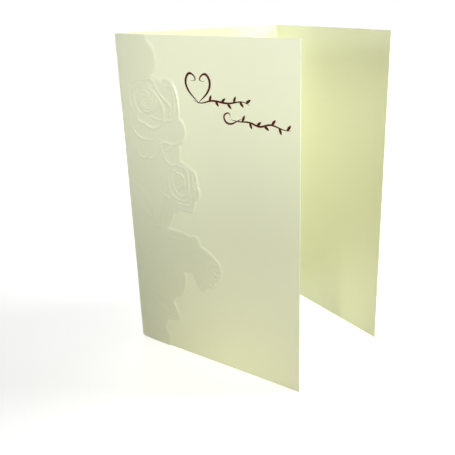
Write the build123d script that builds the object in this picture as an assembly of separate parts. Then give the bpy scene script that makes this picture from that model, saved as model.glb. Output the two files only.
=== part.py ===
from build123d import *
import os
from math import cos, pi, radians, sin

# A tall card folded twice from one sheet: a cover, a middle panel and a shorter inner panel.
# It stands on its lower edges. The cover lies along X and faces -Y, and +Z is up.
# The origin is at the middle of its footprint, on the surface that it stands on.

# Sheet and folds
card_height = 180
cover_width = 115
middle_width = 115
inner_width = 100.5
card_thickness = 0.35
score_radius = 0.3
left_fold_angle = 74.5
rear_fold_angle = 84.5

# Embossing: the same die raises the outer face and hollows the inner one
border_height = 0.45
petal_height = 0.3
leaf_height = 0.22
wall_angle = 45
border_margin = 1.8
die_root = 0.1
die_overrun = 3

# Foil print on the cover, placed from the free edge and the top edge
foil_thickness = 0.05
upper_from_edge = 59
upper_from_top = 31.7
lower_from_edge = 36
lower_from_top = 39.3
scroll_stroke = 1.3
spray_stroke = 1
stroke_tip = 0.16
stroke_steps = 6
spray_leaf_length = 3.8
spray_leaf_width = 1.4


def polar(centre, radius, angle):
    """Point at a radius and an angle about a centre, in the plane of the cover."""
    return (centre[0] + radius * cos(radians(angle)), centre[1] + radius * sin(radians(angle)))


def scalloped(points):
    """Face inside anticlockwise points (x, z, bulge), each reached by an arc that swells out by bulge."""
    edges = []
    for start, end in zip(points[-1:] + points[:-1], points):
        bulge = end[2]
        if bulge == 0:
            edges.append(Line(start[:2], end[:2]))
        else:
            edges.append(SagittaArc(start[:2], end[:2], -bulge))
    return Face(Wire(edges))


def crescent(centre, radius, start, end, width):
    """Petal rim: an arc about the centre, from start to end, and a flatter arc inside it."""
    middle = (start + end) / 2
    tip = polar(centre, radius, start)
    far_tip = polar(centre, radius, end)
    rim = ThreePointArc(tip, polar(centre, radius, middle), far_tip)
    inside = ThreePointArc(far_tip, polar(centre, radius - width, middle), tip)
    return Face(Wire([rim, inside]))


def raised(face, base, height):
    """Solid of the die: straight from its root up to base, then narrowing over height."""
    foot = Pos(0, 0, -die_root) * extrude(face, amount=die_root + base, dir=(0, 0, 1))
    top = Pos(0, 0, base) * extrude(face, amount=height, taper=wall_angle)
    return foot + top


def border_outline():
    """Edge of the embossed border: petals and leaves that stand out from a straight inner margin."""
    last_scallop = 177.3
    top = max(card_height, last_scallop) + die_overrun
    return [
        (border_margin, -die_overrun, 0),
        (24.4, -die_overrun, 0),
        (24.7, 5.6, 0),
        (21.6, 11.2, 0.3),
        (24.7, 17.8, 0),
        (31.2, 18.8, 0),
        (34.5, 20.7, 0),
        (30, 30.9, 0.4),
        (35.3, 35.9, -1),
        (39.9, 52.2, 2.5),
        (45.1, 53.8, 0),
        (50.9, 43.1, 0.3),
        (55.6, 47.2, 1.7),
        (58.5, 46.8, 0),
        (61.6, 50.6, 0.8),
        (64.1, 51.9, 0),
        (65.6, 61.9, 1.4),
        (52.5, 70.3, 1.2),
        (50.9, 74.7, 0),
        (45, 73.8, 1.4),
        (29.4, 76.9, 0.6),
        (35, 86.6, 0.6),
        (39.6, 89.3, 0.5),
        (48.4, 88.8, 0.3),
        (50.9, 95.9, 0),
        (52.4, 104, 2.5),
        (51.6, 112, 0),
        (41.8, 116.8, 0),
        (41.6, 125.3, 0.4),
        (42.4, 139.4, 4.4),
        (40.9, 154.5, 0.9),
        (32.2, 156.8, 2.2),
        (25.5, 160.1, 0),
        (23.8, last_scallop, 4.4),
        (23.8, top, 0),
        (border_margin, top, 0),
    ]


def rose_heart(centre, first_radius, step, rings, turn, width):
    """Rims of the petals curled about the middle of a rose, three to a ring and each ring turned on."""
    petals_in_ring = 3
    petal_span = 112
    ring_turn = 47
    faces = []
    for ring in range(rings):
        for petal in range(petals_in_ring):
            start = turn + ring * ring_turn + petal * 360 / petals_in_ring
            faces.append(crescent(centre, first_radius + ring * step, start, start + petal_span, width))
    return faces


def open_rose():
    """The large rose: its heart, the petals laid open round it and the broad ones under it."""
    heart = (20.3, 147.6)
    petals = rose_heart(heart, 2.3, 2.3, 3, 20, 1.15)
    petals += [crescent(heart, 9.6, 118, 232, 1.6), crescent(heart, 12.3, 132, 218, 1.5)]
    petals += [crescent((23, 145.6), radius, -34, 47, 1.7) for radius in (9.4, 12.7, 16)]
    petals.append(scalloped([(13.2, 135.4, 0), (19.5, 132.2, 0.5), (26.6, 133.4, 0.7), (25.4, 136.6, -0.4)]))
    petals.append(scalloped([(9, 131.8, 0), (15.4, 126.6, 1), (25.2, 127.6, 1.2), (22.4, 130.9, -0.6)]))
    petals.append(scalloped([(27.4, 128.4, 0), (40.2, 127.6, 1.1), (42.2, 136, 3.4), (30, 133.2, -0.8)]))
    petals.append(scalloped([(12.6, 122.6, 0), (15, 116.6, 1.4), (21, 118.4, 0.9), (15.6, 119.6, -0.7)]))
    return petals


def side_rose():
    """The smaller rose, turned to the right, with its outer petals falling away below."""
    heart = (40.2, 107)
    petals = rose_heart(heart, 2, 2.1, 2, 70, 1.05)
    petals += [crescent((39.4, 105.8), radius, -36, 74, 1.4) for radius in (7.2, 9.9)]
    petals += [crescent((41.6, 106.6), radius, 150, 262, 1.3) for radius in (6.6, 9, 11.4)]
    petals.append(scalloped([(37, 91.4, 0), (47, 91, 0.4), (46.4, 93.6, 0), (38.6, 94.2, -0.3)]))
    return petals


def bud():
    """Closed bud between the two roses."""
    middle = (34.6, 118.9)
    return [
        crescent(middle, 5.2, 112, 218, 1.3),
        crescent(middle, 5.2, -70, 52, 1.5),
        crescent(middle, 2.6, 60, 290, 1.8),
    ]


def frilled_flower():
    """Side flower whose narrow petals fan out from its cup."""
    cup = (45.4, 66.2)
    petal_count = 6
    first_angle = -74
    last_angle = -16
    petals = []
    for petal in range(petal_count):
        angle = first_angle + (last_angle - first_angle) * petal / (petal_count - 1)
        petals.append(blade(polar(cup, 6.2, angle), polar(cup, 18.6, angle), 2.5))
    petals.append(blade((46.8, 72.8), (49.6, 58.6), 2.2))
    return petals


def blade(base, tip, width):
    """Slim shape with a point at each end."""
    right = SagittaArc(base, tip, -width / 2)
    left = SagittaArc(tip, base, -width / 2)
    return Face(Wire([right, left]))


def leaf(base, tip, width):
    """Two halves of a leaf with the groove of its main vein between them."""
    vein_width = 0.7
    bulge = (width - vein_width) / 2
    base = Vector(base)
    tip = Vector(tip)
    off_vein = (tip - base).normalized().rotate(Axis.Z, 90) * vein_width / 2
    faces = []
    for start, end in ((base - off_vein, tip - off_vein), (tip + off_vein, base + off_vein)):
        faces.append(Face(Wire([SagittaArc(start, end, -bulge), Line(end, start)])))
    return faces


def leaves():
    """Leaves and their stems, which fill the border between the flowers."""
    faces = leaf((14.4, 160), (24.6, 173.6), 7.4)
    faces += leaf((20, 80.6), (4.2, 99.4), 10)
    faces += leaf((25.6, 73), (43.6, 71), 5)
    faces += leaf((29.4, 67.6), (35.8, 46.2), 8.4)
    faces += leaf((13.6, 37.6), (32, 22.8), 7)
    faces += leaf((12, 25.4), (20.8, 5.2), 6.8)
    faces += [blade((31, 95.6), (22.4, 77.6), 3)]
    return faces


def embossing_die():
    """Everything that the die raises, on the face of the cover, cut off at the card's edges."""
    die = raised(scalloped(border_outline()), 0, border_height)
    for petal in open_rose() + side_rose() + bud() + frilled_flower():
        die += raised(petal, border_height, petal_height)
    for half in leaves():
        die += raised(half, border_height, leaf_height)
    tallest = border_height + petal_height
    panel = Box(cover_width, card_height, 2 * (tallest + die_root), align=(Align.MIN, Align.MIN, Align.CENTER))
    return Plane.XZ * (die & panel)


def plan_line():
    """Outer face of the folded sheet from above, from the cover's free edge to the inner panel's."""
    left_fold = Vector(0, 0)
    cover_edge = Vector(cover_width, 0)
    rear_fold = left_fold + Vector(middle_width, 0).rotate(Axis.Z, left_fold_angle)
    inner_direction = left_fold_angle + 180 + rear_fold_angle
    inner_edge = rear_fold + Vector(inner_width, 0).rotate(Axis.Z, inner_direction)
    return FilletPolyline(cover_edge, left_fold, rear_fold, inner_edge, radius=score_radius + card_thickness)


def folded_card():
    """The whole sheet: folded, and embossed through its thickness along the cover's left side."""
    line = Wire(plan_line().edges())
    section = Face(line.offset_2d(card_thickness, side=Side.RIGHT))
    sheet = extrude(section, amount=card_height, dir=(0, 0, 1))
    die = embossing_die()
    return sheet + die - Pos(0, card_thickness, 0) * die


def stroke(points, width):
    """Pen stroke along a smooth line through points, full in its middle and fine at its ends."""
    line = Spline(*points)
    right = []
    left = []
    for step in range(stroke_steps + 1):
        along = step / stroke_steps
        half_width = (stroke_tip + (width - stroke_tip) * sin(pi * along)) / 2
        across = (line % along).rotate(Axis.Z, 90) * half_width
        right.append(line @ along - across)
        left.append(line @ along + across)
    left.reverse()
    edges = [Spline(*right), Line(right[-1], left[0]), Spline(*left), Line(left[-1], right[0])]
    return Face(Wire(edges))


def sprig(line_points, first, last, leaf_count):
    """Little leaves set by turns above and below a stroke, between two places along it."""
    line = Spline(*line_points)
    leaf_angle = 52
    leaf_seat = 0.4
    faces = []
    for number in range(leaf_count):
        along = first + (last - first) * number / (leaf_count - 1)
        side = 1 if number % 2 == 0 else -1
        direction = (line % along).rotate(Axis.Z, side * leaf_angle)
        base = line @ along - direction * leaf_seat
        tip = base + direction * spray_leaf_length
        faces.append(blade((base.X, base.Y), (tip.X, tip.Y), spray_leaf_width))
    return faces


def foil(faces, from_edge, from_top):
    """Foil of the joined faces, on the cover's face and placed from its free edge and top."""
    shape = faces[0]
    for face in faces[1:]:
        shape = shape + face
    place = Pos(cover_width - from_edge, card_height - from_top, 0)
    return Plane.XZ * (place * extrude(shape, amount=foil_thickness, dir=(0, 0, 1)))


def upper_flourish():
    """Two scrolls that meet in a heart, and a leafy spray that runs to the right from its foot."""
    half_heart = [(0, 0), (4.8, 4), (7.6, 9), (5.6, 13.6), (1.8, 13), (2, 9.8), (4.4, 10.4)]
    other_half = [(-x, z) for x, z in half_heart]
    spray = [(-3.2, 1.1), (3, 0), (10, 1.6), (17, 0.7), (24, 2), (31, 0.9)]
    faces = [stroke(half_heart, scroll_stroke), stroke(other_half, scroll_stroke), stroke(spray, spray_stroke)]
    return faces + sprig(spray, 0.3, 0.94, 7)


def lower_flourish():
    """A small scroll, crossed by a second leafy spray."""
    scroll = [(3.2, 1.5), (-0.4, -0.1), (-4.2, -1.3), (-7.4, 0.9), (-6, 3.7), (-3, 3), (-3.9, 1.5)]
    spray = [(-3.2, 0.9), (0, 0), (6, 0.8), (13, -1), (20, 0.4), (26, -1), (31, -1.2)]
    faces = [stroke(scroll, spray_stroke), stroke(spray, spray_stroke)]
    return faces + sprig(spray, 0.2, 0.94, 7)


card = folded_card()
footprint = card.bounding_box().center()
centring = Pos(-footprint.X, -footprint.Y, 0)
nodes = {
    "card": card,
    "upper_flourish": foil(upper_flourish(), upper_from_edge, upper_from_top),
    "lower_flourish": foil(lower_flourish(), lower_from_edge, lower_from_top),
}
os.makedirs("parts", exist_ok=True)
for name, solid in nodes.items():
    export_step(centring * solid, f"parts/{name}.step")
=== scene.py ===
import bpy
from math import atan2, cos, pi, radians, sin, tan
from mathutils import Matrix, Vector


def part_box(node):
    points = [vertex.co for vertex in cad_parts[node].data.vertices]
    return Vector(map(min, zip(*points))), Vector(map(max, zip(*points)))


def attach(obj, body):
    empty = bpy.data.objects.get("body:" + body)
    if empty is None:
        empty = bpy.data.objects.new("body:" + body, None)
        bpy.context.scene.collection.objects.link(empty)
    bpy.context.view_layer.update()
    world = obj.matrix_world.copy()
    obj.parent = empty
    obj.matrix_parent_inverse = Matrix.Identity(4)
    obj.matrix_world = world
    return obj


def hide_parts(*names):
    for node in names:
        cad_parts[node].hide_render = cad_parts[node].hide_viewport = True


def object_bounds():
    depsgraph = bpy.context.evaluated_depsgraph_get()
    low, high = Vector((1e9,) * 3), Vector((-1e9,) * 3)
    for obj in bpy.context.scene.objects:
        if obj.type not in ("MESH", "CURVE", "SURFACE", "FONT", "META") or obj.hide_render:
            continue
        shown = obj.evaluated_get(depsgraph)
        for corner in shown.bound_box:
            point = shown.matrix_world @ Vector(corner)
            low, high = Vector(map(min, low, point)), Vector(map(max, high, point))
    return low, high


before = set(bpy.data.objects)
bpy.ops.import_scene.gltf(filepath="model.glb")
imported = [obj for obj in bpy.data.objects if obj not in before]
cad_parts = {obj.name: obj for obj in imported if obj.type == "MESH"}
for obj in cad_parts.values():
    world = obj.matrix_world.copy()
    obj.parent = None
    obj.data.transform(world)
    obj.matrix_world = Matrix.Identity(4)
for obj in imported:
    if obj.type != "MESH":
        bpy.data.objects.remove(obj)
cad_low, cad_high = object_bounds()

# Sizes of the card, in metres
mm = 0.001
card_height = cad_high.z
cover_width = 115 * mm
middle_width = 115 * mm
inner_width = 100.5 * mm
card_thickness = 0.35 * mm
score_radius = 0.3 * mm
left_fold_angle = radians(74.5)
rear_fold_angle = radians(84.5)

# Relief of the embossed border, above the face of the cover
border_height = 0.55 * mm
border_wall = 1.1 * mm
press_gap = 5 * mm

# In millimetres, as all outlines on the die are: how far from the fold the border starts, and
# how far the die runs past the card's top and bottom
border_margin = 1.8
die_overrun = 3

# Petals of the die, in millimetres: how far the rim rises inward from its edge, and how deep
# the wall outside it is
rim_rounding = 0.06
petal_wall = 2

# The slope inside a petal's rim drops in two steps, the first one steeper
first_drop = 0.65
last_drop = 0.35

# The cover rolls back a little towards its fold
roll_depth = 0.8 * mm
roll_width = 22 * mm

# Mesh of the sheet: fine where the die presses it, coarse elsewhere, and then thinned to a share
fine_start = 1.2 * mm
fine_end = 68 * mm
grid_step = 0.34 * mm
kept_share = 0.4
fold_segments = 5
smooth_angle = radians(50)

# How near to an edge or to a fold a point counts as on it
edge_reach = 0.1 * mm
fold_reach = 0.05 * mm

# Colours: plain card between two tones, card the die has pressed, darker as painted shade, and foil
card_dark = (0.76, 0.773, 0.515)
card_light = (0.785, 0.798, 0.545)
card_pressed_with_painted_shade = (0.695, 0.708, 0.48)
foil_dark = (0.06, 0.007, 0.001)
foil_light = (0.09, 0.012, 0.003)

# Light from all round
world_light = 0.05

# What the floor adds to be white in the picture: near the card, far from it, and the two
# distances, in metres, between which that changes
floor_lift = 0.66
far_floor_lift = 0.95
lift_start = 0.25
lift_end = 1

# Where the card stands in the frame
cover_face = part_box("upper_flourish")[1].y
inner_heading = left_fold_angle + pi + rear_fold_angle
fold_x = cad_high.x - middle_width * cos(left_fold_angle) - inner_width * cos(inner_heading)


def deselect_all():
    """Leaves object mode with nothing selected."""
    if bpy.context.object and bpy.context.object.mode != "OBJECT":
        bpy.ops.object.mode_set(mode="OBJECT")
    bpy.ops.object.select_all(action="DESELECT")


def make_active(piece):
    """Selects one piece alone."""
    deselect_all()
    piece.select_set(True)
    bpy.context.view_layer.objects.active = piece


def select_points(piece, test):
    """Selects the points of a piece that pass the test, and the edges between them."""
    make_active(piece)
    bpy.ops.object.mode_set(mode="EDIT")
    bpy.ops.mesh.select_mode(type="VERT")
    bpy.ops.mesh.select_all(action="DESELECT")
    bpy.ops.object.mode_set(mode="OBJECT")
    for point in piece.data.vertices:
        point.select = test(point.co)
    bpy.ops.object.mode_set(mode="EDIT")
    bpy.ops.mesh.select_mode(type="EDGE")


def apply_modifier(piece, kind, **settings):
    """Adds a modifier to a piece, sets it and applies it."""
    make_active(piece)
    modifier = piece.modifiers.new(kind, kind)
    for name, value in settings.items():
        setattr(modifier, name, value)
    bpy.ops.object.modifier_apply(modifier=modifier.name)


def join(pieces, name):
    """One object of several."""
    deselect_all()
    for piece in pieces:
        piece.select_set(True)
    bpy.context.view_layer.objects.active = pieces[0]
    bpy.ops.object.join()
    pieces[0].name = name
    return pieces[0]


# The die lies on its back on a bench: x across the cover, y up the card, z out of its face


def arc_points(start, end, bulge, spacing=0.5):
    """Points from start to just before end along an arc that swells to the right by bulge."""
    start, end = Vector(start), Vector(end)
    chord = end - start
    if bulge == 0:
        return [start]
    radius = (chord.length ** 2 / 4 + bulge ** 2) / (2 * bulge)
    right = Vector((chord.y, -chord.x)).normalized()
    centre = (start + end) / 2 + right * (bulge - radius)
    from_centre = start - centre
    sweep = 4 * atan2(2 * bulge, chord.length)
    steps = max(2, round(abs(radius * sweep) / spacing))
    turns = [Matrix.Rotation(sweep * step / steps, 2) for step in range(steps)]
    return [centre + turn @ from_centre for turn in turns]


def scalloped(points):
    """Outline through anticlockwise points (x, y, bulge) in millimetres, each reached by an arc."""
    outline = []
    for start, end in zip(points[-1:] + points[:-1], points):
        outline += arc_points(start[:2], end[:2], end[2])
    return outline


def form(points, rim, heading=None, lip=0.32, slope=1.1, hollow=0.36, tilt=0.035):
    """Petal of the die, in millimetres: a rim, a slope inside it and a wall outside it.

    The rim stands rim high and lip wide, and the slope inside it drops by hollow. With a heading
    the petal rises that way by tilt for each millimetre, so its far side sinks under what lies
    over it.
    """
    outline = scalloped(points)
    rise = Vector((0, 0))
    if heading is not None:
        rise = Vector((cos(radians(heading)), sin(radians(heading)))) * tilt
    highest = max(place.dot(rise) for place in outline)
    deselect_all()
    bpy.ops.mesh.primitive_circle_add(vertices=len(outline), radius=mm, fill_type="NGON")
    petal = bpy.context.object
    for point, place in zip(petal.data.vertices, outline):
        height = rim - rim_rounding + place.dot(rise) - highest
        point.co = (place.x * mm, place.y * mm, height * mm)
    bpy.ops.object.mode_set(mode="EDIT")
    bpy.ops.mesh.select_all(action="SELECT")
    rise_and_drops = (rim_rounding, -hollow * first_drop, -hollow * last_drop)
    for width, lift in zip((lip, slope / 2, slope / 2), rise_and_drops):
        bpy.ops.mesh.inset(thickness=width * mm, use_even_offset=False)
        bpy.ops.transform.translate(value=(0, 0, lift * mm))
    bpy.ops.mesh.select_all(action="DESELECT")
    bpy.ops.mesh.select_mode(type="EDGE")
    bpy.ops.mesh.select_non_manifold(extend=False, use_boundary=True)
    bpy.ops.mesh.extrude_edges_move(TRANSFORM_OT_translate={"value": (0, 0, -petal_wall * mm)})
    bpy.ops.object.mode_set(mode="OBJECT")
    return petal


def curl(x, y, radius, tall, heading, rim):
    """One turn of a rose's heart: three arcs, each tucked a little inside the last."""
    reach_shares = (1, 0.93, 0.86)
    arc_angle = 120
    bulge = radius * 0.42
    points = []
    for number, share in enumerate(reach_shares):
        angle = radians(heading + arc_angle * number)
        reach = radius * share
        points.append((x + reach * cos(angle), y + reach * sin(angle) * tall, bulge))
    return form(points, rim, lip=0.08 * radius, slope=0.3 * radius, hollow=0.34)


def heart(x, y, radius, tall, turns, rim):
    """Heart of a rose, tall times as high as wide: turns inside turns, each a little higher."""
    first_heading = 20
    heading_step = 47
    height_step = 0.03
    last_drift = radius * 0.16
    pieces = []
    for turn in range(turns):
        share = turn / turns
        drift = last_drift * share
        heading = first_heading + heading_step * turn
        height = rim + height_step * turn
        pieces.append(curl(x - drift, y + drift, radius * (1 - share), tall, heading, height))
    return pieces


def open_rose():
    """Wide open rose at the top of the border."""
    return [
        form([(26, 139, 0), (42.3, 139.2, 0), (42.5, 147, 0.5), (41, 154.4, 0.5),
              (32.4, 156.6, 2), (26, 151, 0)], 0.86, 15),
        form([(25.2, 127.4, 0.3), (33.4, 124.8, 0.5), (41.8, 125.6, 0.7), (46.2, 131.8, 1.2),
              (42.6, 139, 1.4), (34, 142, 0), (24.6, 136, 0)], 0.9, -70, slope=2.2),
        form([(7.6, 143, 0.8), (8, 131.6, 0.5), (14.6, 125.6, 0.9), (26, 126.6, 0.7),
              (28, 134, 0), (25, 141, 0), (14, 145, 0)], 0.84, -125, slope=2.2),
        form([(13, 158, 0.4), (8.6, 151, 0.9), (8.8, 143, 0.8), (13, 137, 0.6), (20, 139, 0),
              (20, 156, 0)], 0.8, 180),
        form([(12, 151, 0), (24, 150, 0), (28, 153.4, 0), (25.6, 157.4, 0.5),
              (20.8, 157.6, 0.6), (12.2, 156.6, 0.4)], 0.8, 75),
        form([(28, 138, 0), (38.2, 137.2, 0.4), (40.3, 146.3, 0.5), (39.5, 155, 0.3),
              (33.4, 155.2, 0), (28, 150, 0)], 0.94, 0),
        form([(22, 138, 0), (34.4, 136.4, 0.4), (37.3, 141.2, 0.5), (37.8, 145.2, 0.2),
              (30.2, 151.7, -0.3), (27, 155.6, 0.3), (20, 150, 0)], 1.04, 15),
        form([(15.6, 155.6, 0.3), (12, 150.6, 0.8), (11.9, 144.6, 0.7), (15.4, 139.6, 0.5),
              (20, 140, 0), (20, 155, 0)], 0.92, 180),
        form([(12.8, 136.8, 0.4), (15, 134.4, 0.3), (18.8, 133.7, -0.1), (21.9, 132.1, 0.2),
              (28, 132.9, 0.6), (33, 138, 0.5), (30, 145, 0),
              (14.6, 143, 0)], 0.98, -95, slope=1.7),
        form([(22, 138.6, 0), (31, 136.4, 0.4), (33, 141.2, 0.4), (31.6, 146, 0.4),
              (27.6, 151, 0.5), (22, 150, 0)], 1.1, 0),
        form([(21.6, 155, 0), (26.4, 153.4, 0.2), (27.6, 156, 0.4),
              (24.2, 158.6, 0.5)], 0.92, 60, slope=0.8),
        *heart(21.4, 147, 7.4, 1.12, 5, 1.08),
    ]


def side_rose():
    """Half open rose below it, turned to the card's free edge."""
    return [
        form([(38, 97, 0), (50.6, 96.2, 0), (52.6, 104, 1.6), (51.4, 111.6, 0.5),
              (42, 116.2, 0.2), (36, 110, 0)], 0.86, 15),
        form([(37.4, 91.8, 0.2), (39.8, 89.6, 0.1), (48.2, 89.2, 0.2), (50.6, 96, 0.4),
              (46, 102, 0), (37, 99, 0)], 0.82, -80),
        form([(31, 111.4, 0.4), (28, 104, 0.8), (30.6, 97.8, 0.8), (38, 96, 0),
              (38, 111, 0)], 0.8, 190),
        form([(36.6, 95, 0.3), (38.2, 92.6, 0.3), (46.6, 92.2, 0.2), (48, 99, 0.5),
              (38, 103, 0)], 0.92, -80),
        form([(42, 98, 0), (49.8, 97.6, 0.5), (51, 102, 0.3), (49.6, 106.4, -0.2),
              (49.6, 112, 0.3), (44, 114.4, 0.4), (40, 108, 0)], 0.96, 5),
        form([(33.6, 111.4, 0.4), (32.2, 104.6, 0.5), (34, 97.4, 0.6), (40, 94.4, 0.5),
              (46.6, 96, 0.6), (47, 103, 0), (42, 110, 0)], 0.98, 215),
        form([(40, 98, 0), (45.6, 98.2, 0.5), (47, 106, 0.7), (45.2, 113.4, 0.7),
              (39, 113.8, 0.4), (37, 106, 0)], 1.06, 0),
        form([(36.8, 111.4, 0.4), (35.2, 104.6, 0.5), (37.2, 99.2, 0.5), (41.4, 96.4, 0.4),
              (44.6, 99.6, 0.8), (44, 108, 0)], 1.1, 215),
        *heart(40.6, 105.8, 4, 1.45, 4, 1.06),
    ]


def bud():
    """Closed bud between the two roses, and the tips of two petals beside it."""
    return [
        form([(28.6, 123, 0.2), (30.6, 116.8, 0.3), (34.8, 113.2, 0.3), (40.6, 114.6, 0.5),
              (41.4, 120.6, 0.3), (40.6, 125.6, 0), (31, 126, 0)], 0.88, -110, slope=2),
        form([(28.2, 124.8, 0), (28.5, 122.2, 0.1), (31, 116.6, 0.3), (34.6, 113.6, 0.2),
              (33.6, 117.4, 0), (32.8, 121, -0.3), (36.4, 123, 0.1),
              (34, 125.8, 0.2)], 1.08, 150, lip=0.3, slope=0.8, hollow=0.3),
        form([(16, 122, 0), (16.6, 117.2, 0.3), (20, 115.2, 0.5), (24.2, 117.6, 0.7),
              (25, 124, 0.3), (20, 127, 0)], 0.8, -80),
        form([(10.9, 122.4, 0.5), (11.6, 117, 0.5), (15.2, 114.7, 0.5), (19.2, 117.4, 0.8),
              (19.6, 123, 0.3), (17, 127, 0), (13, 127, 0)], 0.86, -100, slope=1.8),
    ]


def frilled_flower():
    """Frilled flower seen from the side: narrow petals that fan out from its cup."""
    cup = Vector((45.6, 68))
    tips = [(50.6, 43.6), (53.8, 44.2), (56.6, 46), (59.2, 48), (61.4, 50.2), (63.4, 52.4),
            (65, 55.2), (65.6, 58.4), (64.8, 61.8)]
    widest = 0.72
    half_width = 1.9
    lowest_rim = 0.84
    rim_ruffle = 0.04
    rim_step = 0.02
    pieces = []
    for number, tip in enumerate(tips):
        along = Vector(tip) - cup
        across = Vector((along.y, -along.x)).normalized()
        side = cup + along * widest
        left = side - across * half_width
        right = side + across * half_width
        near = cup + across
        far = cup - across
        points = [(*near, 0.5), (*right, 0.3), (*tip, 0.9), (*left, 0.9), (*far, 0.3)]
        heading = atan2(along.y, along.x) * 180 / pi
        rim = lowest_rim + rim_ruffle * (number % 2) + rim_step * number
        pieces.append(form(points, rim, heading, lip=0.2, slope=0.7, hollow=0.5, tilt=0.022))
    return pieces


def leaf_pattern():
    """Leaf of unit length and half width: two crowned halves and a sunk vein."""
    edge_drop = 0.5
    vein_drop = 0.9
    ripple_height = 0.14
    ripple_count = 5.5
    ripple_slant = 1.1
    base_fullness = 0.85
    side_fullness = 0.8
    wall = 8
    deselect_all()
    bpy.ops.mesh.primitive_grid_add(x_subdivisions=28, y_subdivisions=8, size=2)
    leaf = bpy.context.object
    leaf.name = "leaf_pattern"
    for point in leaf.data.vertices:
        along = (point.co.x + 1) / 2
        side = abs(point.co.y)
        drop = edge_drop if side > 0.5 else vein_drop
        crown = -drop * (2 * side - 1) ** 2
        wave = sin(2 * pi * (ripple_count * along - ripple_slant * side))
        ripple = ripple_height * wave * sin(pi * side)
        width = sin(pi * along ** base_fullness) ** side_fullness
        point.co = (along, point.co.y * width, crown + ripple)
    make_active(leaf)
    bpy.ops.object.mode_set(mode="EDIT")
    bpy.ops.mesh.select_mode(type="EDGE")
    bpy.ops.mesh.select_all(action="DESELECT")
    bpy.ops.mesh.select_non_manifold(extend=False, use_boundary=True)
    bpy.ops.mesh.extrude_edges_move(TRANSFORM_OT_translate={"value": (0, 0, -wall)})
    bpy.ops.object.mode_set(mode="OBJECT")
    return leaf


def leaf(pattern, base, tip, width, height, relief):
    """Copy of the leaf from base to tip, in millimetres.

    Its halves are height high at their crowns, and relief is how strongly they are carved.
    """
    piece = pattern.copy()
    piece.data = pattern.data.copy()
    bpy.context.collection.objects.link(piece)
    along = Vector(tip) - Vector(base)
    size = Matrix.Diagonal((along.length * mm, width / 2 * mm, relief * mm, 1))
    turn = Matrix.Rotation(atan2(along.y, along.x), 4, "Z")
    place = Matrix.Translation((base[0] * mm, base[1] * mm, height * mm))
    piece.data.transform(place @ turn @ size)
    return piece


def leaves():
    """Leaves and the side rose's stem."""
    pattern = leaf_pattern()
    pieces = [
        leaf(pattern, (14.4, 156), (24.4, 175.6), 8.4, 0.6, 0.1),
        leaf(pattern, (12.6, 155), (10.4, 176), 7, 0.6, 0.1),
        leaf(pattern, (19.6, 81), (2.4, 101), 12, 0.66, 0.11),
        leaf(pattern, (25.6, 73), (48.6, 73.4), 6.4, 0.62, 0.1),
        leaf(pattern, (22.6, 69.4), (6, 56), 9, 0.6, 0.08),
        leaf(pattern, (29.4, 66.6), (38, 42.2), 9.4, 0.61, 0.1),
        leaf(pattern, (17.4, 53.4), (28, 34), 8.4, 0.6, 0.08),
        leaf(pattern, (8.6, 35.6), (33.6, 21.8), 10.4, 0.65, 0.12),
        leaf(pattern, (9.6, 36.6), (4.6, 12.8), 6.4, 0.6, 0.08),
        leaf(pattern, (12, 26.4), (23.6, 1), 7.8, 0.61, 0.08),
    ]
    bpy.data.objects.remove(pattern)
    stem = [(28.6, 96.6, 0), (24.6, 87, 0.3), (20.8, 76, 0), (24, 76.4, 0), (28, 86, -0.2),
            (33, 95, 0)]
    return pieces + [form(stem, 0.84, lip=0.4, slope=0.9, hollow=0.26)]


def border_plate():
    """Plate under the whole border: a flat top, and a sloping side that meets the plain card."""
    top = card_height / mm + die_overrun
    outline = scalloped([
        (border_margin, -die_overrun, 0),
        (24.4, -die_overrun, 0),
        (24.7, 5.6, 0),
        (21.6, 11.2, 0.3),
        (24.7, 17.8, 0),
        (31.2, 18.8, 0),
        (34.5, 20.7, 0),
        (30, 30.9, 0.4),
        (35.3, 35.9, -1),
        (39.9, 52.2, 2.5),
        (45.1, 53.8, 0),
        (50.9, 43.1, 0.3),
        (55.6, 47.2, 1.7),
        (58.5, 46.8, 0),
        (61.6, 50.6, 0.8),
        (64.1, 51.9, 0),
        (65.6, 61.9, 1.4),
        (52.5, 70.3, 1.2),
        (50.9, 74.7, 0),
        (45, 73.8, 1.4),
        (29.4, 76.9, 0.6),
        (35, 86.6, 0.6),
        (39.6, 89.3, 0.5),
        (48.4, 88.8, 0.3),
        (50.9, 95.9, 0),
        (52.4, 104, 2.5),
        (51.6, 112, 0),
        (41.8, 116.8, 0),
        (41.6, 125.3, 0.4),
        (42.4, 139.4, 4.4),
        (40.9, 154.5, 0.9),
        (32.2, 156.8, 2.2),
        (25.5, 160.1, 0),
        (23.8, 177.3, 4.4),
        (23.8, top, 0),
        (border_margin, top, 0),
    ])
    curve = bpy.data.curves.new("border_plate", "CURVE")
    curve.dimensions = "2D"
    curve.fill_mode = "BOTH"
    curve.bevel_depth = border_wall
    curve.bevel_resolution = 0
    curve.offset = -border_wall / 2
    spline = curve.splines.new("POLY")
    spline.points.add(len(outline) - 1)
    for point, place in zip(spline.points, outline):
        point.co = (place.x * mm, place.y * mm, 0, 1)
    spline.use_cyclic_u = True
    plate = bpy.data.objects.new("border_plate", curve)
    bpy.context.collection.objects.link(plate)
    make_active(plate)
    bpy.ops.object.convert(target="MESH")
    plate = bpy.context.object
    plate.data.transform(Matrix.Diagonal((1, 1, border_height / border_wall, 1)))
    return plate


def embossing_die():
    """The whole die on its bench."""
    deselect_all()
    bpy.ops.mesh.primitive_plane_add(size=1)
    bench = bpy.context.object
    plate = border_plate()
    foliage = leaves()
    flowers = [*frilled_flower(), *bud(), *side_rose(), *open_rose()]
    return join([bench, plate, *foliage, *flowers], "embossing_die")


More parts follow.
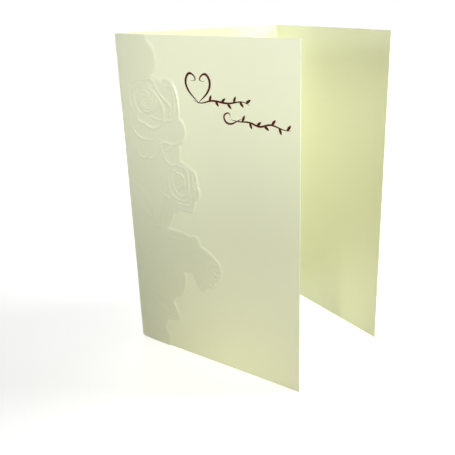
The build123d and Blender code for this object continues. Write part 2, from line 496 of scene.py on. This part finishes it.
def flat_sheet():
    """The cover before it is pressed: a fine grid under the border, plain strips beside it.

    It is held above the die.
    """
    deselect_all()
    width = fine_end - fine_start
    columns = round(width / grid_step)
    rows = round(card_height / grid_step)
    middle = (fine_start + width / 2, card_height / 2, press_gap)
    bpy.ops.mesh.primitive_grid_add(x_subdivisions=columns, y_subdivisions=rows, size=1,
                                    location=middle)
    sheet = bpy.context.object
    sheet.name = "folded_card"
    sheet.scale = (width, card_height, 1)
    bpy.ops.object.transform_apply(location=True, rotation=True, scale=True)
    pull_out(sheet, fine_end, [84 * mm, 100 * mm, cover_width])
    pull_out(sheet, fine_start, [0])
    return sheet


def pull_out(sheet, edge, stops):
    """Extrudes the sheet's edge at x = edge to each stop in turn."""
    select_points(sheet, lambda place: abs(place.x - edge) < edge_reach)
    for stop in stops:
        bpy.ops.mesh.extrude_edges_move(TRANSFORM_OT_translate={"value": (stop - edge, 0, 0)})
        edge = stop
    bpy.ops.object.mode_set(mode="OBJECT")


def press(sheet):
    """Presses the sheet on the die, and notes for its material how far each point is pressed."""
    die = embossing_die()
    apply_modifier(sheet, "SHRINKWRAP", target=die, wrap_method="PROJECT", use_project_z=True,
                   use_negative_direction=True, use_positive_direction=False)
    apply_modifier(sheet, "SMOOTH", use_x=False, use_y=False, factor=0.5, iterations=3)
    bpy.data.objects.remove(die)
    pressed = sheet.data.attributes.new("pressed", "FLOAT", "POINT")
    shares = [min(1, point.co.z / border_height) for point in sheet.data.vertices]
    pressed.data.foreach_set("value", shares)


def roll_back(sheet):
    """Lets the cover roll back towards its fold."""
    select_points(sheet, lambda place: abs(place.x) < edge_reach)
    bpy.ops.transform.translate(value=(0, 0, -roll_depth), use_proportional_edit=True,
                                proportional_edit_falloff="SHARP", proportional_size=roll_width)
    bpy.ops.object.mode_set(mode="OBJECT")


def fold(sheet, hinge, angle, test):
    """Turns what passes the test about an upright line, clockwise from above."""
    select_points(sheet, test)
    bpy.ops.transform.rotate(value=angle, orient_axis="Z", center_override=(hinge.x, hinge.y, 0))
    bpy.ops.object.mode_set(mode="OBJECT")


def round_fold(sheet, hinge, angle):
    """Rounds the sheet's outer face along a fold."""
    outer_radius = score_radius + card_thickness
    select_points(sheet, lambda place: (place.xy - hinge).length < fold_reach)
    bpy.ops.mesh.bevel(offset=outer_radius / tan(angle / 2), segments=fold_segments, affect="EDGES")
    bpy.ops.object.mode_set(mode="OBJECT")


def folded_card():
    """Presses the sheet on the die, stands it up, folds it twice and gives it its thickness."""
    sheet = flat_sheet()
    press(sheet)
    roll_back(sheet)
    rear_stop = roll_depth * sin(left_fold_angle) - middle_width
    middle_stops = [-fine_start, -30 * mm, -60 * mm, -90 * mm, rear_stop + fine_start, rear_stop]
    inner_reaches = [fine_start, 30 * mm, 65 * mm, inner_width]
    pull_out(sheet, 0, middle_stops + [rear_stop - reach for reach in inner_reaches])
    sheet.data.transform(Matrix.Rotation(pi / 2, 4, "X"))
    left_fold = Vector((0, roll_depth))
    rearward = Vector((cos(left_fold_angle), sin(left_fold_angle)))
    rear_fold = left_fold - rearward * rear_stop
    fold(sheet, left_fold, pi - left_fold_angle, lambda place: place.x < -fold_reach)
    fold(sheet, rear_fold, pi - rear_fold_angle,
         lambda place: (place.xy - rear_fold).dot(rearward) > fold_reach)
    round_fold(sheet, left_fold, left_fold_angle)
    round_fold(sheet, rear_fold, rear_fold_angle)
    apply_modifier(sheet, "DECIMATE", ratio=kept_share)
    make_active(sheet)
    bpy.ops.object.mode_set(mode="EDIT")
    bpy.ops.mesh.select_all(action="SELECT")
    bpy.ops.mesh.normals_make_consistent(inside=False)
    bpy.ops.object.mode_set(mode="OBJECT")
    apply_modifier(sheet, "SOLIDIFY", thickness=card_thickness, offset=-1)
    sheet.data.transform(Matrix.Translation((fold_x, cover_face, 0)))
    make_active(sheet)
    bpy.ops.object.shade_smooth_by_angle(angle=smooth_angle)
    return sheet


def new_material(name):
    """Material with its nodes and its Principled shader."""
    material = bpy.data.materials.new(name)
    material.use_nodes = True
    nodes = material.node_tree.nodes
    return material, nodes, material.node_tree.links, nodes["Principled BSDF"]


def noise(nodes, links, coordinates, scale, detail):
    """Noise over a piece, in its own coordinates."""
    texture = nodes.new("ShaderNodeTexNoise")
    texture.inputs["Scale"].default_value = scale
    texture.inputs["Detail"].default_value = detail
    links.new(coordinates.outputs["Object"], texture.inputs["Vector"])
    return texture


def spread(nodes, links, source, low, high):
    """Number between low and high as a source goes from 0 to 1."""
    mapped = nodes.new("ShaderNodeMapRange")
    mapped.inputs["To Min"].default_value = low
    mapped.inputs["To Max"].default_value = high
    links.new(source, mapped.inputs["Value"])
    return mapped.outputs["Result"]


def mixed(nodes, links, share, first, second):
    """Colour that goes from first to second with a share."""
    mix = nodes.new("ShaderNodeMix")
    mix.data_type = "RGBA"
    links.new(share, mix.inputs["Factor"])
    for socket, colour in (("A", first), ("B", second)):
        for place in mix.inputs:
            if place.name == socket and place.type == "RGBA":
                if isinstance(colour, tuple):
                    place.default_value = (*colour, 1)
                else:
                    links.new(colour, place)
    return [place for place in mix.outputs if place.type == "RGBA"][0]


def pearl_card():
    """Cream card with a pearl coat; where the die has pressed it, darker with painted shade, and
    duller.
    """
    material, nodes, links, shader = new_material("pearl_card")
    shader.inputs["Metallic"].default_value = 0.05
    shader.inputs["Coat Weight"].default_value = 1
    shader.inputs["Coat Roughness"].default_value = 0.38
    shader.inputs["Coat IOR"].default_value = 1.7
    coordinates = nodes.new("ShaderNodeTexCoord")
    clouds = noise(nodes, links, coordinates, scale=45, detail=3)
    plain = mixed(nodes, links, clouds.outputs["Fac"], card_dark, card_light)
    pressed = nodes.new("ShaderNodeAttribute")
    pressed.attribute_name = "pressed"
    # Painted shade: the pressed border takes a darker colour than the plain card
    colour = mixed(nodes, links, pressed.outputs["Fac"], plain, card_pressed_with_painted_shade)
    links.new(colour, shader.inputs["Base Color"])
    roughness = spread(nodes, links, pressed.outputs["Fac"], low=0.48, high=0.62)
    links.new(roughness, shader.inputs["Roughness"])
    fibres = noise(nodes, links, coordinates, scale=2600, detail=3)
    bump = nodes.new("ShaderNodeBump")
    bump.inputs["Strength"].default_value = 0.12
    bump.inputs["Distance"].default_value = 0.0001
    links.new(fibres.outputs["Fac"], bump.inputs["Height"])
    links.new(bump.outputs["Normal"], shader.inputs["Normal"])
    return material


def foil():
    """Burgundy foil with a fine grain."""
    material, nodes, links, shader = new_material("burgundy_foil")
    shader.inputs["Roughness"].default_value = 0.45
    shader.inputs["Specular IOR Level"].default_value = 0.1
    coordinates = nodes.new("ShaderNodeTexCoord")
    grain = noise(nodes, links, coordinates, scale=900, detail=2)
    colour = mixed(nodes, links, grain.outputs["Fac"], foil_dark, foil_light)
    links.new(colour, shader.inputs["Base Color"])
    bump = nodes.new("ShaderNodeBump")
    bump.inputs["Strength"].default_value = 0.1
    bump.inputs["Distance"].default_value = 0.00005
    links.new(grain.outputs["Fac"], bump.inputs["Height"])
    links.new(bump.outputs["Normal"], shader.inputs["Normal"])
    return material


def set_camera():
    """Camera at the photograph's place, for an image 455 pixels wide and high."""
    image_size = 455
    focal_pixels = 633.2
    axis_x = 268.5
    axis_y = 238
    place = (0.1992, -0.3, 0.198)
    heading = radians(33.92)
    pitch = radians(21.05)
    roll = radians(-0.8)
    deselect_all()
    bpy.ops.object.camera_add()
    camera = bpy.context.object
    camera.name = "camera"
    turn = Matrix.Rotation(heading, 4, "Z") @ Matrix.Rotation(pi / 2 - pitch, 4, "X")
    turn = turn @ Matrix.Rotation(roll, 4, "Z")
    camera.matrix_world = Matrix.Translation(place) @ turn
    camera.data.sensor_width = 36
    camera.data.lens = camera.data.sensor_width * focal_pixels / image_size
    camera.data.shift_x = (image_size / 2 - axis_x) / image_size
    camera.data.shift_y = (axis_y - image_size / 2) / image_size
    camera.data.clip_start = 0.01
    camera.data.clip_end = 100
    bpy.context.scene.camera = camera


def lamp(kind, name, place, aim, power):
    """Lamp at a place, aimed at a point."""
    deselect_all()
    bpy.ops.object.light_add(type=kind, location=place)
    light = bpy.context.object
    light.name = name
    light.data.energy = power
    light.rotation_euler = (Vector(aim) - Vector(place)).to_track_quat("-Z", "Y").to_euler()
    return light.data


def area_light(name, place, aim, size, power):
    """Square soft light."""
    light = lamp("AREA", name, place, aim, power)
    light.shape = "SQUARE"
    light.size = size


def spot_light(name, place, aim, radius, cone, power, tint):
    """Soft spotlight, which fades from its aim to the edge of its cone, given in degrees."""
    light = lamp("SPOT", name, place, aim, power)
    light.color = tint
    light.shadow_soft_size = radius
    light.spot_size = radians(cone)
    light.spot_blend = 1


def looked_at(nodes, links, low, high):
    """Strength that is high for what the camera sees, and low for what lights the card.

    What shows in a reflection, or through a piece, counts as seen.
    """
    path = nodes.new("ShaderNodeLightPath")
    seen = path.outputs["Is Camera Ray"]
    for ray in ("Is Glossy Ray", "Is Transmission Ray"):
        either = nodes.new("ShaderNodeMath")
        either.operation = "MAXIMUM"
        links.new(seen, either.inputs[0])
        links.new(path.outputs[ray], either.inputs[1])
        seen = either.outputs["Value"]
    return spread(nodes, links, seen, low, high)


def white_floor():
    """Pale floor that keeps the card's shadow and shows white to the camera."""
    deselect_all()
    bpy.ops.mesh.primitive_circle_add(vertices=96, radius=8, fill_type="NGON")
    floor = bpy.context.object
    floor.name = "floor"
    material, nodes, links, shader = new_material("white_floor")
    shader.inputs["Base Color"].default_value = (0.85, 0.85, 0.85, 1)
    shader.inputs["Roughness"].default_value = 0.9
    shader.inputs["Emission Color"].default_value = (1, 1, 1, 1)
    coordinates = nodes.new("ShaderNodeTexCoord")
    distance = nodes.new("ShaderNodeVectorMath")
    distance.operation = "LENGTH"
    links.new(coordinates.outputs["Object"], distance.inputs[0])
    lift = spread(nodes, links, distance.outputs["Value"], floor_lift, far_floor_lift)
    lift.node.inputs["From Min"].default_value = lift_start
    lift.node.inputs["From Max"].default_value = lift_end
    shown = nodes.new("ShaderNodeMath")
    shown.operation = "MULTIPLY"
    links.new(lift, shown.inputs[0])
    links.new(looked_at(nodes, links, 0, 1), shown.inputs[1])
    links.new(shown.outputs["Value"], shader.inputs["Emission Strength"])
    floor.data.materials.append(material)


def white_world():
    """Plain light from all round, and white behind the card."""
    world = bpy.data.worlds.new("studio")
    bpy.context.scene.world = world
    world.use_nodes = True
    background = world.node_tree.nodes["Background"]
    background.inputs["Color"].default_value = (1, 1, 1, 1)
    strength = looked_at(world.node_tree.nodes, world.node_tree.links, world_light, 1)
    world.node_tree.links.new(strength, background.inputs["Strength"])


def hang_lamps():
    """Spotlights on the cover, the inner panel and the rear fold, and soft lamps from behind.

    A spotlight has its place, its aim, its radius, its cone, its power and its tint. A soft lamp
    has its place, its aim, its size and its power.
    """
    left_front = (-0.6, -1.1, 0.3)
    right_front = (0.55, -0.75, 0.45)
    low_front = (0.25, -0.95, 0.12)
    far_right = (0.85, -0.6, 0.32)
    above_card = (0.04, 0, 0.34)
    right_rear = (0.6, 0.5, 0.6)
    left_rear = (-0.7, 0.5, 0.4)
    card_middle = (0, 0, card_height / 2)
    cover_top = (-0.006, -0.055, 0.187)
    cover_corner = (-0.03, -0.055, 0.17)
    cover_middle = (-0.005, -0.055, 0.13)
    cover_foot = (0.014, -0.055, -0.01)
    inner_top = (0.028, 0.033, 0.13)
    inner_foot = (0.028, 0.033, 0.045)
    rear_fold_top = (-0.03, 0.05, 0.17)
    plain = (1, 1, 1)
    cool = (0.9, 0.94, 0.98)
    creamy = (1, 0.99, 0.9)
    warm = (1, 0.99, 0.76)
    spot_light("front_left_light", left_front, cover_top, 0.15, 12, 31, cool)
    spot_light("corner_light", right_front, cover_corner, 0.1, 14, 27, cool)
    spot_light("front_right_light", right_front, cover_middle, 0.12, 22, 15, creamy)
    spot_light("low_light", low_front, cover_foot, 0.05, 9, 18, warm)
    spot_light("inner_top_light", far_right, inner_top, 0.04, 6.4, 52, plain)
    spot_light("inner_foot_light", far_right, inner_foot, 0.04, 6.4, 36, plain)
    spot_light("fold_light", above_card, rear_fold_top, 0.01, 24, 1.2, cool)
    area_light("rear_right_light", right_rear, card_middle, 0.4, 6.8)
    area_light("rear_left_light", left_rear, card_middle, 0.4, 2.2)


bpy.context.scene.view_settings.view_transform = "Standard"
set_camera()

card = folded_card()
card.data.materials.append(pearl_card())
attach(card, "root")
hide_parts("card")

foil_material = foil()
for name in ("upper_flourish", "lower_flourish"):
    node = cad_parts[name]
    node.data.materials.clear()
    node.data.materials.append(foil_material)

white_floor()
white_world()
hang_lamps()
